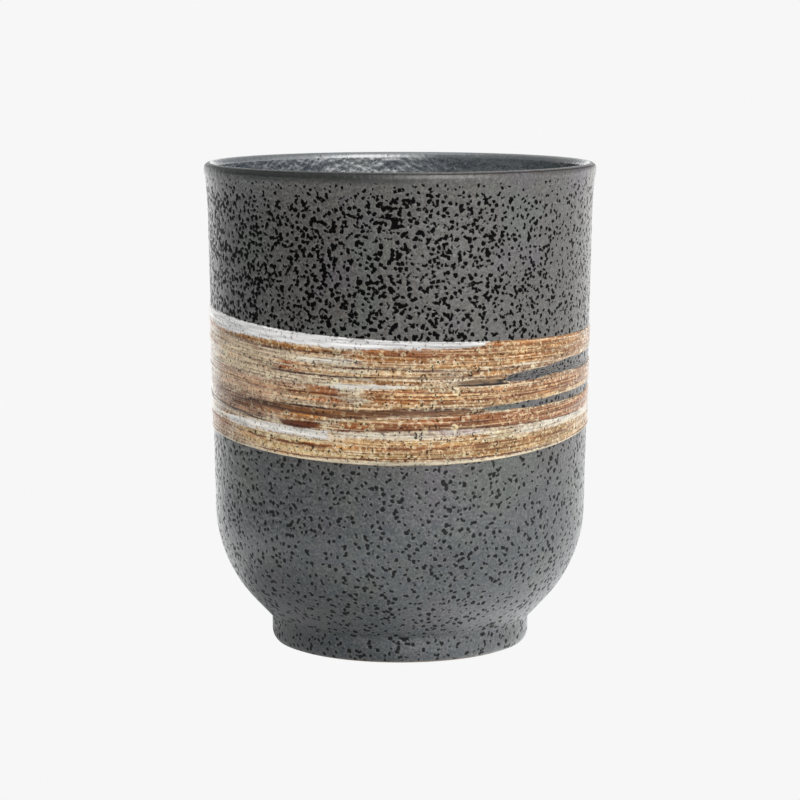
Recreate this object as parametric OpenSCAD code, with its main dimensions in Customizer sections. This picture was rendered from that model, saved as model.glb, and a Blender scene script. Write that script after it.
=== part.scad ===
// Handle-less stoneware tea cup on a turned foot ring, with a brushed band round the wall.
// Millimetres. The axis is Z, the table is z = 0 and the front of the cup faces -Y.

/* [Cup] */
// Height from the table to the top of the lip
cup_height = 94; // [86:1:110]
// Outside diameter at the lip
rim_d = 76; // [74:0.5:82]
// Outside diameter where the straight wall meets the shoulder
belly_d = 72.3; // [68:0.1:73]
// Height at which the straight wall meets the shoulder
belly_height = 27; // [25:0.5:32]
// Radius of the rounded shoulder above the foot
shoulder_r = 27; // [24:0.5:28]
// How far the lip flares out past the straight wall
lip_flare = 0.5; // [0.2:0.1:0.8]
// Radius of the gentle outward sweep under the lip
lip_sweep_r = 80; // [50:5:120]
// Radius of the rounded edge of the lip
lip_r = 1.2; // [1:0.1:1.4]

/* [Wall] */
// Thickness of the wall at the belly, with both coats of glaze
wall = 3.4; // [3:0.1:4.4]
// Thickness of the floor above the foot ring
floor_t = 5; // [4:0.2:7]
// How much tighter the rounded corner inside is than the shoulder outside
corner_less_r = 9.5; // [8:0.5:14]
// Thickness of each coat of glaze
glaze_t = 0.4; // [0.3:0.05:0.6]

/* [Foot] */
// Outside diameter of the foot ring
foot_d = 50.4; // [48:0.2:52]
// Height of the foot ring
foot_height = 5.2; // [5:0.1:6.5]
// Width of the foot ring from its outside to its inside
foot_w = 5.8; // [5.2:0.1:7]
// Radius of the rounded outer edge of the foot ring
foot_edge_r = 2.5; // [2:0.1:3]
// Radius of the rounded inner edge of the foot ring
foot_inner_r = 0.8; // [0.5:0.1:1.2]
// Height of the bare clay left wiped clean at the foot's contact face
bare_h = 0.5; // [0.4:0.05:0.8]
// Radius of the glaze pooled in the corner of the well under the cup
well_fillet_r = 1.4; // [0.8:0.1:2]

/* [Brushed band] */
// Height of the middle of the band above the table
band_mid = 53.7; // [52:0.1:58]
// Width of the band, from its lower edge to its upper edge
band_w = 22.6; // [16:0.1:24]
// Thickness of the white slip
slip_t = 0.2; // [0.15:0.05:0.4]
// Thickness of a brown brush stroke on the slip
stroke_t = 0.12; // [0.1:0.02:0.3]

/* [Hidden] */
$fn = 180;
over = 1;                 // how far a cut runs past what it cuts
snug = 0.001;             // how far a straight stretch sits inside the arc that it runs into
band_step = 4;            // degrees between the cross-sections of the band and its strokes

// Colours, as they show on the cup
clay_colour = "#9a8a7c";
glaze_colour = "#5b5d60";
liner_colour = "#6d7274";
slip_colour = "#e9e4da";
rust_colour = "#a96a35";
umber_colour = "#74523f";

// Radii and heights that follow from the sizes above
rim_r = rim_d / 2;
belly_r = belly_d / 2;
foot_r = foot_d / 2;
reach_r = max(rim_r, belly_r) + over;
well_r = foot_r - foot_w;
floor_z = foot_height + floor_t;
lip_c = [rim_r - lip_r, cup_height - lip_r];

// The wall's outer line leans out from the belly, with the lip's centre a set distance inside it
lip_set = lip_r - lip_flare;
belly_p = [belly_r, belly_height];
to_lip = lip_c - belly_p;
lean = atan2(to_lip[0], to_lip[1]) + asin(lip_set / norm(to_lip));
wall_dir = [sin(lean), cos(lean)];
wall_out = [cos(lean), -sin(lean)];

// Centre of the shoulder's arc, and the angle at which it ends. A straight line runs on from there
// to the foot's corner, or the arc itself runs down to the foot's top where it passes that corner.
shoulder_c = belly_p - shoulder_r * wall_out;
to_foot = [foot_r, foot_height] - shoulder_c;
foot_a = norm(to_foot) > shoulder_r ? atan2(to_foot[1], to_foot[0]) + acos(shoulder_r / norm(to_foot))
    : asin(to_foot[1] / shoulder_r);

// Centre of the sweep under the lip: it touches both the wall's line and the lip's round
sweep_run = to_lip * wall_dir - sqrt(pow(lip_sweep_r + lip_r, 2) - pow(lip_sweep_r + lip_set, 2));
sweep_start = belly_p + sweep_run * wall_dir;
sweep_c = sweep_start + lip_sweep_r * wall_out;
sweep_side = (sweep_c - lip_c) / norm(sweep_c - lip_c);

// The inside: a line that touches the lip's round, and a rounded corner from it to the floor
inner_p = [belly_r - wall, belly_height];
from_inner = lip_c - inner_p;
inner_lean = atan2(from_inner[0], from_inner[1]) - asin(lip_r / norm(from_inner));
inner_dir = [sin(inner_lean), cos(inner_lean)];
inner_out = [-cos(inner_lean), sin(inner_lean)];
inner_r = shoulder_r - corner_less_r;
inner_beside = inner_p + inner_r * inner_out;
inner_c = inner_beside + inner_dir * (floor_z + inner_r - inner_beside[1]) / inner_dir[1];

function ray(a) = [cos(a), sin(a)];

// What rounding takes off a square corner. inward is [1, 1], [-1, 1] and so on, into the solid.
module corner_cut(corner, radius, inward) {
    low = corner + [inward[0] < 0 ? -radius : -over, inward[1] < 0 ? -radius : -over];
    difference() {
        translate(low) square(radius + over);
        translate(corner + (radius - snug) * inward) circle(radius);
    }
}

// The space inside the cup, grown outwards by a depth
module cavity_2d(depth) {
    low = inner_c - (inner_r + depth - snug) * inner_out;
    high = lip_c + (lip_r - depth - snug) * inner_out;
    past = high + over * (high - low) / norm(high - low);
    floor_low = floor_z - depth;
    polygon([[0, floor_low + snug], [inner_c[0], floor_low + snug], low, past, [0, past[1]]]);
    intersection() {
        translate(inner_c) circle(inner_r + depth);
        translate([0, floor_low - over]) square([reach_r, cup_height]);
    }
}

// Half the cup's section above the foot ring, a depth under its finished faces. Straight
// stretches lie a hair deeper than the arcs that they run into, so that the two cross.
module section_2d(depth, drop = 0) {
    low_z = foot_height - drop;
    line_depth = depth + snug;
    turn = shoulder_c + (shoulder_r - line_depth) * ray(foot_a);
    foot_p = turn + [sin(foot_a), -cos(foot_a)] * (turn[1] - low_z) / cos(foot_a);
    wall_low = belly_p - line_depth * wall_out;
    wall_high = sweep_start - line_depth * wall_out;
    lip_side = lip_c + (lip_r + over) * sweep_side;
    lip_in = lip_c + (lip_r + over) * inner_out;
    difference() {
        union() {
            polygon([[0, low_z], foot_p, turn, wall_low, wall_high, wall_high + over * wall_out,
                     lip_side, lip_c, lip_in, [0, lip_in[1]]]);
            intersection() {
                translate(shoulder_c) circle(shoulder_r - depth);
                translate([0, low_z]) square([reach_r, cup_height]);
            }
        }
        cavity_2d(depth);
        translate(sweep_c) circle(lip_sweep_r + depth + 2 * snug);
    }
    translate(lip_c) circle(lip_r - depth);
}

// Half the section of the foot ring's outside, a depth inside its finished side
module foot_side_2d(depth, rise = 0) {
    difference() {
        square([foot_r - depth, foot_height + rise]);
        corner_cut([foot_r - depth, 0], foot_edge_r, [-1, 1]);
    }
}

// Everything on the drinking side of the lip's crest
module inner_side_2d() {
    cavity_2d(lip_r);
    translate([0, lip_c[1]]) square([lip_c[0], lip_r + over]);
}

module stoneware_body() {
    color(clay_colour) rotate_extrude() section_2d(glaze_t);
}

module foot_ring() {
    color(clay_colour) rotate_extrude() difference() {
        foot_side_2d(glaze_t);
        translate([0, -over]) square([well_r, foot_height + 2 * over]);
        corner_cut([well_r, 0], foot_inner_r, [1, 1]);
    }
}

module outer_glaze() {
    color(glaze_colour) rotate_extrude() difference() {
        union() {
            section_2d(0, over);
            foot_side_2d(0, over);
        }
        section_2d(glaze_t);
        inner_side_2d();
        foot_side_2d(glaze_t);
        square([foot_r, bare_h]);
    }
}

module liner_glaze() {
    color(liner_colour) rotate_extrude() difference() {
        intersection() {
            section_2d(0);
            inner_side_2d();
        }
        section_2d(glaze_t);
    }
}

// Glaze on the ceiling and the side of the well, pooled in its corner
module foot_well_glaze() {
    color(glaze_colour) rotate_extrude() difference() {
        translate([0, foot_inner_r]) square([well_r, foot_height - foot_inner_r]);
        difference() {
            square([well_r - glaze_t, foot_height - glaze_t]);
            corner_cut([well_r - glaze_t, foot_height - glaze_t], well_fillet_r, [-1, -1]);
        }
    }
}

// The band's edges wander round the cup. The shares are of band_w, for the waves
// cos(a), sin(a), cos(2a) and sin(2a), where a is 0 at the front and grows to the right.
top_edge_shares = [-0.066, -0.102, -0.006, 0.0195];
low_edge_shares = [-0.08, 0.0195, -0.037, -0.0136];

function wander(a, shares) = band_w * (shares * [cos(a), sin(a), cos(2 * a), sin(2 * a)]);
function band_top(a) = band_mid + band_w / 2 + wander(a, top_edge_shares);
function band_low(a) = band_mid - band_w / 2 + wander(a, low_edge_shares);
function band_z(a, share) = band_low(a) + share * (band_top(a) - band_low(a));
function snap(a) = band_step * round(a / band_step);

// Radius of the wall's straight cone at a height. A skin's flat facets touch it from outside.
function wall_r(z) = belly_r + (z - belly_height) * tan(lean);
function skin_r(z, lift) = (wall_r(z) + lift) / cos(band_step / 2);
function skin_p(a, z, lift) = [skin_r(z, lift) * sin(a), -skin_r(z, lift) * cos(a), z];

// Dry slits where the brush left the slip off: the angles at which a slit starts and ends, then
// its middle's place at both as shares of the band's width, then its greatest width as a share.
slit_shares = [[24, 152, 0.435, 0.42, 0.07],
               [28, 160, 0.67, 0.79, 0.12]];

function slit_part(a, s) = (a - snap(s[0])) / (snap(s[1]) - snap(s[0]));
function slit_open(a, s) = slit_part(a, s) > 0 && slit_part(a, s) < 1;
function slit_half(a, s) = slit_open(a, s) ? s[4] / 2 * sqrt(sin(180 * slit_part(a, s))) : 0;
function slit_mid(a, s) = s[2] + (s[3] - s[2]) * max(0, min(1, slit_part(a, s)));

// One cross-section of the slip has six levels: its lower edge, both sides of each slit, its top
function slip_levels(a) = [0,
    slit_mid(a, slit_shares[0]) - slit_half(a, slit_shares[0]),
    slit_mid(a, slit_shares[0]) + slit_half(a, slit_shares[0]),
    slit_mid(a, slit_shares[1]) - slit_half(a, slit_shares[1]),
    slit_mid(a, slit_shares[1]) + slit_half(a, slit_shares[1]), 1];

module slip_band() {
    turns = 360 / band_step;
    levels = 6;
    points = [for (i = [0 : turns - 1], k = [0 : levels - 1], lift = [0, slip_t])
        let (a = i * band_step) skin_p(a, band_z(a, slip_levels(a)[k]), lift)];
    // A closed slit's two sides share one line of points
    function line(i, k) = (k == 2 || k == 4) && !slit_open(i * band_step, slit_shares[k / 2 - 1])
        ? k - 1 : k;
    function at(i, k, side) = 2 * (levels * (i % turns) + line(i % turns, k)) + side;
    skins = [for (i = [0 : turns - 1], k = [0, 2, 4], side = [0, 1])
        let (quad = [at(i, k, side), at(i, k + 1, side), at(i + 1, k + 1, side), at(i + 1, k, side)])
        side == 1 ? quad : [for (n = [3 : -1 : 0]) quad[n]]];
    edges = [for (i = [0 : turns - 1], k = [0 : levels - 1])
        let (s = slit_shares[k < 3 ? 0 : 1], a = i * band_step,
             wanted = k == 0 || k == 5 || slit_open(a, s) || slit_open(a + band_step, s),
             quad = [at(i, k, 0), at(i, k, 1), at(i + 1, k, 1), at(i + 1, k, 0)])
        if (wanted) k % 2 == 0 ? quad : [for (n = [3 : -1 : 0]) quad[n]]];
    color(slip_colour) polyhedron(points, concat(skins, edges), convexity = 10);
}

// One tapered brush stroke: the angles at which it starts and ends, then its middle's place at
// both and its width, as shares of the band's width
module stroke(s) {
    blunt_share = 0.35;
    from_a = snap(s[0]);
    steps = (snap(s[1]) - from_a) / band_step;
    points = [for (i = [0 : steps])
        let (a = from_a + i * band_step, part = i / steps,
             swell = blunt_share + (1 - blunt_share) * pow(sin(180 * part), 0.4),
             mid = s[2] + (s[3] - s[2]) * part, half = s[4] * swell / 2)
        for (c = [[-1, 0], [-1, 1], [1, 1], [1, 0]])
            skin_p(a, band_z(a, mid + c[0] * half), slip_t + c[1] * stroke_t)];
    sides = [for (i = [0 : steps - 1], c = [0 : 3])
        let (n = (c + 1) % 4) [4 * i + c, 4 * i + n, 4 * i + 4 + n, 4 * i + 4 + c]];
    last = 4 * steps;
    polyhedron(points, concat(sides, [[3, 2, 1, 0], [last, last + 1, last + 2, last + 3]]),
               convexity = 4);
}

rust_stroke_shares = [
    [-66, -16, 0.855, 0.872, 0.045], [-12, 72, 0.875, 0.925, 0.08], [-58, -44, 0.738, 0.75, 0.03],
    [-26, 66, 0.765, 0.84, 0.045], [-42, 24, 0.685, 0.72, 0.03], [-68, -16, 0.525, 0.54, 0.045],
    [-12, 76, 0.555, 0.555, 0.07], [-20, 80, 0.30, 0.335, 0.075], [-54, -42, 0.135, 0.14, 0.04],
    [-38, -20, 0.125, 0.125, 0.035], [-16, 62, 0.14, 0.125, 0.06], [-40, 30, 0.05, 0.05, 0.02],
    [84, 168, 0.915, 0.89, 0.06], [176, 286, 0.87, 0.86, 0.07], [170, 292, 0.72, 0.735, 0.04],
    [92, 190, 0.56, 0.55, 0.06], [198, 284, 0.54, 0.53, 0.05], [88, 210, 0.32, 0.30, 0.07],
    [100, 182, 0.14, 0.15, 0.05], [192, 300, 0.14, 0.13, 0.045]];

umber_stroke_shares = [
    [-76, 22, 0.37, 0.43, 0.07], [-70, -42, 0.285, 0.295, 0.06], [-38, -24, 0.285, 0.283, 0.055],
    [160, 276, 0.43, 0.39, 0.06], [216, 282, 0.28, 0.285, 0.06]];

module rust_strokes() {
    color(rust_colour) for (s = rust_stroke_shares) stroke(s);
}

module umber_strokes() {
    color(umber_colour) for (s = umber_stroke_shares) stroke(s);
}

stoneware_body();
foot_ring();
outer_glaze();
liner_glaze();
foot_well_glaze();
slip_band();
rust_strokes();
umber_strokes();
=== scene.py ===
# Handle-less stoneware tea cup: dark speckled glaze, and a band of brushed slip round the wall.
# Metres. The cup's axis is Z, the table is z = 0 and the front of the cup faces -Y.
import math
import bpy
import numpy as np
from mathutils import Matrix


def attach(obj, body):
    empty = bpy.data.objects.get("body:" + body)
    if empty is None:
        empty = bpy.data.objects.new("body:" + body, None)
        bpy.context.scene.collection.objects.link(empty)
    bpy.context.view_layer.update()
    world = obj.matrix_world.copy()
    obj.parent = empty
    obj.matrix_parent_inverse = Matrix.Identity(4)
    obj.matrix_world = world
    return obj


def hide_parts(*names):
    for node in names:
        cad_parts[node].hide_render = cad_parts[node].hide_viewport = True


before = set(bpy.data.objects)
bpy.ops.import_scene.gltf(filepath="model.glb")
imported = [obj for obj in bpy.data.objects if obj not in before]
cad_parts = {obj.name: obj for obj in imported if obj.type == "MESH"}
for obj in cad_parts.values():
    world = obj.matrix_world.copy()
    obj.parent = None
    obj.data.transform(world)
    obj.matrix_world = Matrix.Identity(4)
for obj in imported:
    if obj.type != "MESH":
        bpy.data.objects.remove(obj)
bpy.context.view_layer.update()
mm = 0.001
print("frame loaded")


class Wire:
    # one socket of a node, so that a sum is written as a plain expression
    def __init__(self, bench, socket):
        self.bench = bench
        self.socket = socket

    def __add__(self, other):
        return self.bench.maths("ADD", self, other)

    def __radd__(self, other):
        return self.bench.maths("ADD", other, self)

    def __sub__(self, other):
        return self.bench.maths("SUBTRACT", self, other)

    def __rsub__(self, other):
        return self.bench.maths("SUBTRACT", other, self)

    def __mul__(self, other):
        return self.bench.maths("MULTIPLY", self, other)

    def __rmul__(self, other):
        return self.bench.maths("MULTIPLY", other, self)

    def __truediv__(self, other):
        return self.bench.maths("DIVIDE", self, other)

    def beside(self, name):
        # another output of the same node
        return Wire(self.bench, self.socket.node.outputs[name])


class Bench:
    # adds nodes to one tree, of a material, the world or a shape
    def __init__(self, tree):
        self.tree = tree

    def node(self, kind, settings=None, sockets=None, out=0):
        made = self.tree.nodes.new(kind)
        for name, value in (settings or {}).items():
            if name == "stops":
                self.setStops(made.color_ramp, value)
            else:
                setattr(made, name, value)
        for key, value in (sockets or {}).items():
            if isinstance(value, Wire):
                self.tree.links.new(value.socket, made.inputs[key])
            else:
                made.inputs[key].default_value = value
        return Wire(self, made.outputs[out]) if len(made.outputs) else None

    def setStops(self, ramp, stops):
        while len(ramp.elements) > 1:
            ramp.elements.remove(ramp.elements[-1])
        ramp.elements[0].position = stops[0][0]
        for place, tone in stops[1:]:
            ramp.elements.new(place)
        for element, (place, tone) in zip(ramp.elements, stops):
            element.color = (tone, tone, tone, 1)

    def maths(self, operation, first, second=0.0):
        return self.node("ShaderNodeMath", {"operation": operation}, {0: first, 1: second})

    def smooth(self, value, low, high):
        # 0 under low, 1 over high, and an even bend between them
        if low > high:
            return 1 - self.smooth(value, high, low)
        return self.node("ShaderNodeMapRange", {"interpolation_type": "SMOOTHSTEP"},
                         {"Value": value, "From Min": low, "From Max": high})

    def mixed(self, share, first, second):
        return self.node("ShaderNodeMix", {"data_type": "FLOAT"}, {0: share, 2: first, 3: second})

    def tinted(self, share, first, second):
        return self.node("ShaderNodeMix", {"data_type": "RGBA"}, {0: share, 6: first, 7: second}, out=2)

    def stained(self, share, tone, code):
        return self.tinted(share, tone, colour(code))

    def most(self, first, second):
        return self.maths("MAXIMUM", first, second)

    def within(self, beyond, softness):
        # 1 where a place lies inside an edge, 0 where it lies beyond
        return self.smooth(beyond, softness, -softness)

    def split(self, vector):
        x = self.node("ShaderNodeSeparateXYZ", sockets={0: vector})
        return x, x.beside("Y"), x.beside("Z")

    def joined(self, x, y, z):
        return self.node("ShaderNodeCombineXYZ", sockets={"X": x, "Y": y, "Z": z})

    def scaled(self, vector, factor):
        return self.node("ShaderNodeVectorMath", {"operation": "SCALE"}, {0: vector, "Scale": factor})

    def stretched(self, vector, factors):
        return self.node("ShaderNodeVectorMath", {"operation": "MULTIPLY"}, {0: vector, 1: factors})

    def noise(self, place, scale, detail=0.0, roughness=0.5):
        return self.node("ShaderNodeTexNoise", sockets={
            "Vector": place, "Scale": scale, "Detail": detail, "Roughness": roughness})

    def bumped(self, strength, distance, height):
        return self.node("ShaderNodeBump", sockets={
            "Strength": strength, "Distance": distance, "Height": height})

    def finished(self, tone, roughness, gloss, bump, ior=1.5):
        return self.node("ShaderNodeBsdfPrincipled", sockets={
            "Base Color": tone, "Roughness": roughness, "Specular IOR Level": gloss, "IOR": ior,
            "Normal": bump})

    def pitted(self, finish, share, code, gloss, bump):
        # the finish with matt specks in it, as the material's surface
        speck = self.finished(colour(code), iron["roughness"], gloss, bump)
        self.shown(self.node("ShaderNodeMixShader", sockets={0: share, 1: finish, 2: speck}))

    def glowing(self, strength):
        self.shown(self.node("ShaderNodeEmission", sockets={"Color": (1, 1, 1, 1), "Strength": strength}))

    def shown(self, surface):
        self.node("ShaderNodeOutputMaterial", sockets={"Surface": surface})


def fromHex(code):
    # a colour as it shows on screen, as the linear values that a shader takes
    values = [int(code[i:i + 2], 16) / 255 for i in (0, 2, 4)]
    return [v / 12.92 if v < 0.04045 else ((v + 0.055) / 1.055) ** 2.4 for v in values]


def colour(code):
    return (*fromHex(code), 1)


def newMaterial(name):
    material = bpy.data.materials.new(name)
    material.use_nodes = True
    material.node_tree.nodes.clear()
    return material, Bench(material.node_tree)


def newShapeTree(name, inputs):
    # an empty Geometry Nodes tree, its bench, and a wire from each named input
    tree = bpy.data.node_groups.new(name, "GeometryNodeTree")
    tree.interface.new_socket("Geometry", in_out="OUTPUT", socket_type="NodeSocketGeometry")
    for label, kind in inputs.items():
        tree.interface.new_socket(label, in_out="INPUT", socket_type="NodeSocket" + kind)
    bench = Bench(tree)
    entry = tree.nodes.new("NodeGroupInput")
    return tree, bench, {label: Wire(bench, entry.outputs[label]) for label in inputs}


def closeShapeTree(bench, shape, material, cornerAngle):
    # smooth faces, crisp only where two of them meet at a corner
    joint = bench.node("GeometryNodeInputMeshEdgeAngle")
    crisp = bench.node("FunctionNodeCompare", {"data_type": "FLOAT", "operation": "GREATER_THAN"},
                       {0: joint, 1: cornerAngle})
    shape = bench.node("GeometryNodeSetShadeSmooth", {"domain": "FACE"},
                       {"Geometry": shape, "Shade Smooth": True})
    shape = bench.node("GeometryNodeSetShadeSmooth", {"domain": "EDGE"},
                       {"Geometry": shape, "Selection": crisp, "Shade Smooth": False})
    shape = bench.node("GeometryNodeRealizeInstances", sockets={"Geometry": shape})
    shape = bench.node("GeometryNodeSetMaterial", sockets={"Geometry": shape, "Material": material})
    bench.node("NodeGroupOutput", sockets={"Geometry": shape})


def runShapeTree(name, tree, values):
    # the tree's result as a plain mesh of its own
    holder = bpy.data.objects.new(name, bpy.data.meshes.new(name + "Start"))
    bpy.context.scene.collection.objects.link(holder)
    modifier = holder.modifiers.new("shape", "NODES")
    modifier.node_group = tree
    for item in tree.interface.items_tree:
        if item.in_out == "INPUT":
            modifier[item.identifier] = values[item.name]
    bpy.context.view_layer.update()
    depsgraph = bpy.context.evaluated_depsgraph_get()
    mesh = bpy.data.meshes.new_from_object(holder.evaluated_get(depsgraph))
    holder.modifiers.clear()
    holder.data = mesh
    return holder


def guideObject(name, points, edges, fields):
    # lines of points that a tree reads, with one number per point for each field
    mesh = bpy.data.meshes.new(name)
    mesh.from_pydata([tuple(p) for p in points], edges, [])
    for label, values in fields.items():
        mesh.attributes.new(label, "FLOAT", "POINT").data.foreach_set("value", np.array(values, "f"))
    guide = bpy.data.objects.new(name, mesh)
    bpy.context.scene.collection.objects.link(guide)
    return guide


def closedGuide(name, points, fields):
    count = len(points)
    return guideObject(name, points, [(i, (i + 1) % count) for i in range(count)], fields)


def curveOf(bench, guide):
    # the curve through a guide's points
    points = bench.node("GeometryNodeObjectInfo", sockets={"Object": guide}, out="Geometry")
    return bench.node("GeometryNodeMeshToCurve", sockets={"Mesh": points})


def carriedRound(bench, given):
    # a tree's profile, swept round the axis
    path = bench.node("GeometryNodeCurvePrimitiveCircle", {"mode": "RADIUS"},
                      {"Resolution": given["Steps Around"], "Radius": given["Path Radius"]})
    return bench.node("GeometryNodeCurveToMesh", sockets={
        "Curve": path, "Profile Curve": curveOf(bench, given["Profile"])})


def named(bench, label):
    return bench.node("GeometryNodeInputNamedAttribute", {"data_type": "FLOAT"}, {"Name": label})


# The cup's sizes, in millimetres, the same as the solids'
cup = {
    "height": 94, "rimRadius": 38, "bellyRadius": 36.15, "bellyHeight": 27, "shoulderRadius": 27,
    "lipFlare": 0.5, "sweepRadius": 80, "lipRadius": 1.2, "wall": 3.4, "floorHeight": 10.2,
    "cornerRadius": 17.5, "coat": 0.4, "footRadius": 25.2, "footHeight": 5.2, "wellRadius": 19.4,
    "footEdge": 2.5, "footInner": 0.8, "bareHeight": 0.5, "wellFillet": 1.4,
    "pooledRadius": 0.8,        # glaze that gathered in the corner above the foot
    "wipedShort": 4,            # in degrees: how far over the bare height the glaze was wiped
    "coatSplit": 52.5,          # hidden under the slip, where the outer coat is two pieces
}

# How finely the coats are divided: steps around, and millimetres between rows
fineness = {
    "outerColumns": 560, "linerColumns": 440, "wellColumns": 300, "footColumns": 360,
    "wallRow": 0.31, "shoulderRow": 0.375, "linerRow": 0.6, "wellRow": 0.4, "footRow": 1,
    "hiddenRow": 6, "bendRow": 0.2, "edgeRow": 0.12, "noseRow": 0.08,
}


def ray(degrees):
    return np.array([math.cos(math.radians(degrees)), math.sin(math.radians(degrees))])


def degreesOf(vector):
    return math.degrees(math.atan2(vector[1], vector[0]))


lipCentre = np.array([cup["rimRadius"] - cup["lipRadius"], cup["height"] - cup["lipRadius"]])
bellyPoint = np.array([cup["bellyRadius"], cup["bellyHeight"]])
toLip = lipCentre - bellyPoint
lipSet = cup["lipRadius"] - cup["lipFlare"]
lean = 90 - degreesOf(toLip) + math.degrees(math.asin(lipSet / np.linalg.norm(toLip)))
wallDirection, wallOut = ray(90 - lean), ray(-lean)
sweepRun = toLip @ wallDirection - math.sqrt(
    (cup["sweepRadius"] + cup["lipRadius"]) ** 2 - (cup["sweepRadius"] + lipSet) ** 2)
sweepCentre = bellyPoint + sweepRun * wallDirection + cup["sweepRadius"] * wallOut
sweepSide = degreesOf(sweepCentre - lipCentre)
shoulderCentre = bellyPoint - cup["shoulderRadius"] * wallOut
toFoot = np.array([cup["footRadius"], cup["footHeight"]]) - shoulderCentre
footAngle = degreesOf(toFoot) + math.degrees(math.acos(cup["shoulderRadius"] / np.linalg.norm(toFoot)))

innerPoint = np.array([cup["bellyRadius"] - cup["wall"], cup["bellyHeight"]])
fromInner = lipCentre - innerPoint
innerLean = 90 - degreesOf(fromInner) - math.degrees(
    math.asin(cup["lipRadius"] / np.linalg.norm(fromInner)))
innerDirection, innerOut = ray(90 - innerLean), ray(180 - innerLean)
innerBeside = innerPoint + cup["cornerRadius"] * innerOut
innerRise = cup["floorHeight"] + cup["cornerRadius"] - innerBeside[1]
cornerCentre = innerBeside + innerDirection * innerRise / innerDirection[1]


def wallRadiusAt(z):
    return cup["bellyRadius"] + (z - cup["bellyHeight"]) * math.tan(math.radians(lean))


def arc(centre, radius, start, end, step):
    count = max(2, math.ceil(abs(end - start) * math.pi / 180 * radius / step))
    return [centre + radius * ray(a) for a in np.linspace(start, end, count + 1)]


def straight(start, end, step):
    start, end = np.array(start, float), np.array(end, float)
    count = max(1, math.ceil(np.linalg.norm(end - start) / step))
    return [start + (end - start) * t for t in np.linspace(0, 1, count + 1)]


def upperLine(depth, step):
    # from the crest of the lip down the wall to the split, a depth under the finished face
    line = arc(lipCentre, cup["lipRadius"] - depth, 90, sweepSide, min(step, fineness["edgeRow"]))
    line += arc(sweepCentre, cup["sweepRadius"] + depth, 180 + sweepSide, 180 - lean, step)
    split = np.array([wallRadiusAt(cup["coatSplit"]) - depth / wallOut[0], cup["coatSplit"]])
    return line + straight(line[-1], split, step)


def lowerLine(depth, step, pooled):
    # from the split down over the shoulder to the wiped edge of the foot
    split = np.array([wallRadiusAt(cup["coatSplit"]) - depth / wallOut[0], cup["coatSplit"]])
    line = straight(split, bellyPoint - depth * wallOut, step)
    line += arc(shoulderCentre, cup["shoulderRadius"] - depth, -lean, footAngle, step)
    foot = cup["footRadius"] - depth
    along = ray(footAngle - 90)
    corner = line[-1] + along * (foot - line[-1][0]) / along[0]
    if pooled > 0:
        reach = pooled * math.tan(math.radians(-footAngle) / 2)
        line += straight(line[-1], corner - reach * along, step)
        line += arc(np.array([foot + pooled, corner[1] - reach]), pooled, 180 + footAngle, 180, step)
    else:
        line += straight(line[-1], corner, step)
    edgeCentre = np.array([foot - cup["footEdge"], cup["footEdge"]])
    line += straight(line[-1], [foot, cup["footEdge"]], step)
    wiped = -math.degrees(math.asin((cup["footEdge"] - cup["bareHeight"]) / cup["footEdge"]))
    wiped += cup["wipedShort"]
    return line + arc(edgeCentre, cup["footEdge"], 0, wiped, step), wiped


def innerLine(depth, step):
    # the drinking side: from the crest of the lip down to the middle of the floor
    line = arc(lipCentre, cup["lipRadius"] - depth, 90, 180 - innerLean, min(step, fineness["edgeRow"]))
    line += straight(line[-1], cornerCentre - (cup["cornerRadius"] + depth) * innerOut, step)
    line += arc(cornerCentre, cup["cornerRadius"] + depth, -innerLean, -90, step)
    return line + straight(line[-1], [0, cup["floorHeight"] - depth], step)


# How the potter's hands left the wall and its glaze, in metres where it is a depth
surface = {
    "wobble": 0.12 * mm,        # how far the thrown wall is out of round
    "rings": 0.05 * mm,         # faint rings from throwing
    "pits": 0.05 * mm,          # how deep an iron speck lies in the glaze
    "wobbleScale": 22, "ringScales": (14, 14, 340),
    "pathRadius": 20,           # of the circle that a profile is carried round, in millimetres
    "cornerAngle": 50,          # in degrees: an edge that bends more stays crisp
    # millimetres over which the relief rises from a coat's end, and where it starts
    "lipFade": (3, 1), "wipedFade": (1.5, 0),
}

# The iron specks: how far one reaches in its cell, where the reach changes, and how ragged it is
iron = {
    "topReach": 0.46, "rightLess": 0.09, "lipReach": 0.27, "lowReach": 0.335,
    "topHeights": (0.0543, 0.0567), "lipHeights": (0.0875, 0.0920), "rightSide": (0, 0.034),
    "topScale": 1080, "lowScale": 880, "merge": 0.3, "bendScale": 950, "bendReach": 0.9,
    "crowdScale": 260, "crowding": 0.42, "frayScale": 1500, "fray": 0.4, "topFray": 0.25,
    "softness": 0.08, "pitSoftness": 0.06, "rim": (0.30, 0.12), "roughness": 0.38,
}


def throwingRelief(bench, place, wobble, rings):
    # how far the thrown wall lies inside its true round, the same under the glaze and the slip
    slow = bench.noise(place, surface["wobbleScale"])
    ringed = bench.noise(bench.stretched(place, surface["ringScales"]), 1, 1)
    return slow * wobble + ringed * rings


def bentPlace(bench, place, scale, reach):
    # the place, pushed about by some millimetres, so that round cells turn ragged
    push = bench.node("ShaderNodeTexNoise", sockets={"Vector": place, "Scale": scale}, out="Color")
    push = bench.node("ShaderNodeVectorMath", {"operation": "SUBTRACT"}, {0: push, 1: (0.5, 0.5, 0.5)})
    return bench.node("ShaderNodeVectorMath", {"operation": "MULTIPLY_ADD"},
                      {0: push, 1: (reach * mm,) * 3, 2: place})


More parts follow.
